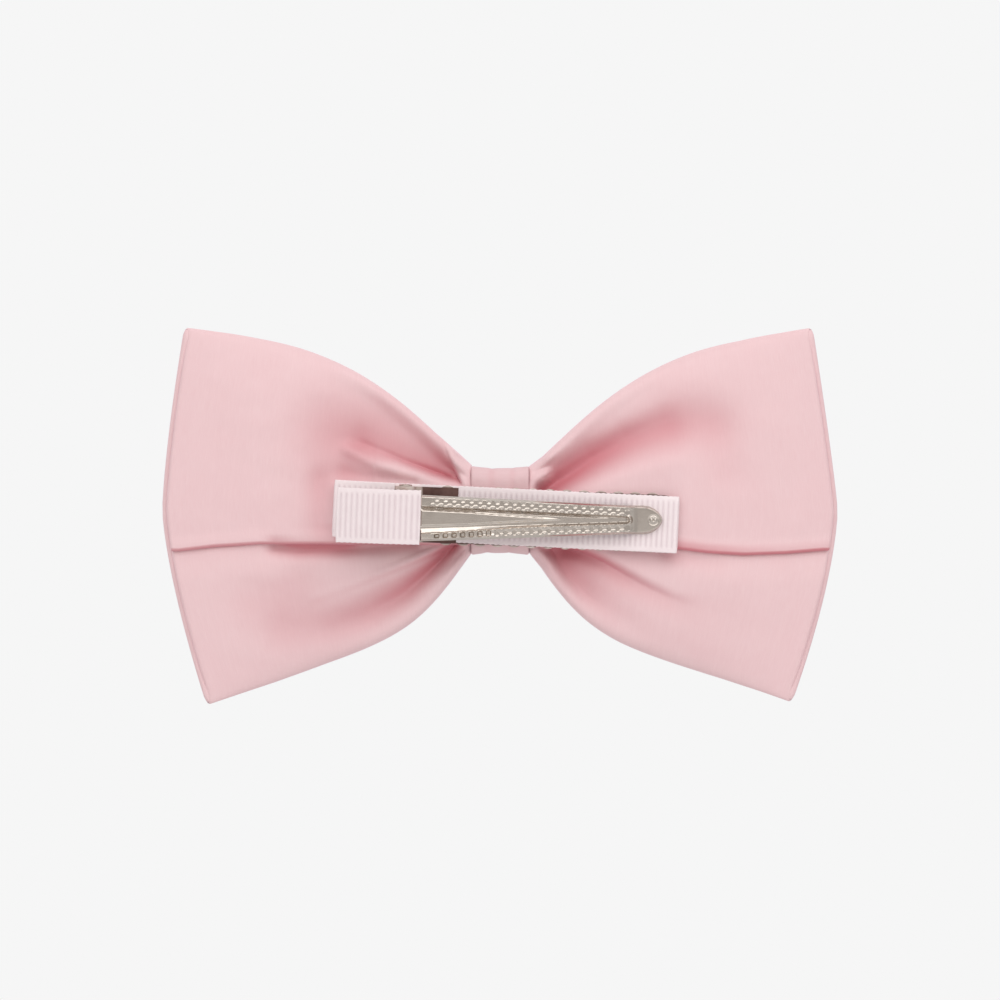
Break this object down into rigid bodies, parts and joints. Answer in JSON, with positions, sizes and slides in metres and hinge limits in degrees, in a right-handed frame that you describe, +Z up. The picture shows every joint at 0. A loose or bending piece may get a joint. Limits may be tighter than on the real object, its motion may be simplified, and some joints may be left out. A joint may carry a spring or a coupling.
{
  "type": "alligator hair clip",
  "caption": "Satin hair bow with a wrapped knot, glued to a ribbon-covered sprung alligator clip whose upper jaw opens on a pin.",
  "frame": {"origin": "on the lined grip face of the lower jaw, under the middle of the bow", "axes": "+X across the bow, towards the jaws' tips; +Z up as worn; +Y away from the head, so the bow's decorative front faces +Y and the clip faces -Y"},
  "size_m": [0.1108, 0.0228, 0.0614],
  "materials": {
    "satin": "satin",
    "grosgrain": "matte",
    "interfacing": "matte",
    "thread": "matte",
    "glue": "satin",
    "nickel_steel": "polished",
    "spring_steel": "satin"
  },
  "bodies": {
    "bow_and_lower_jaw": {"satin_bow": "satin", "left_stiffener": "interfacing", "right_stiffener": "interfacing", "gather_thread": "thread", "knot_band": "satin", "knot_stitches": "thread", "glue_pad": "glue", "lower_jaw": "nickel_steel", "lower_jaw_ribbon": "grosgrain", "pivot_pin": "nickel_steel", "torsion_spring": "spring_steel"},
    "upper_jaw": {"upper_jaw": "nickel_steel", "thumb_ribbon": "grosgrain"}
  },
  "joints": [
    {"name": "jaw_hinge", "type": "hinge", "parent": "bow_and_lower_jaw", "child": "upper_jaw", "pos_m": [-0.0156, -0.0035, 0.0004], "axis": [-0.0349, 0, -0.9994], "range_deg": [0, 34], "stiffness_Nm_per_rad": 0.04, "springref_deg": -45.84, "deforming": ["torsion_spring"]}
  ]
}
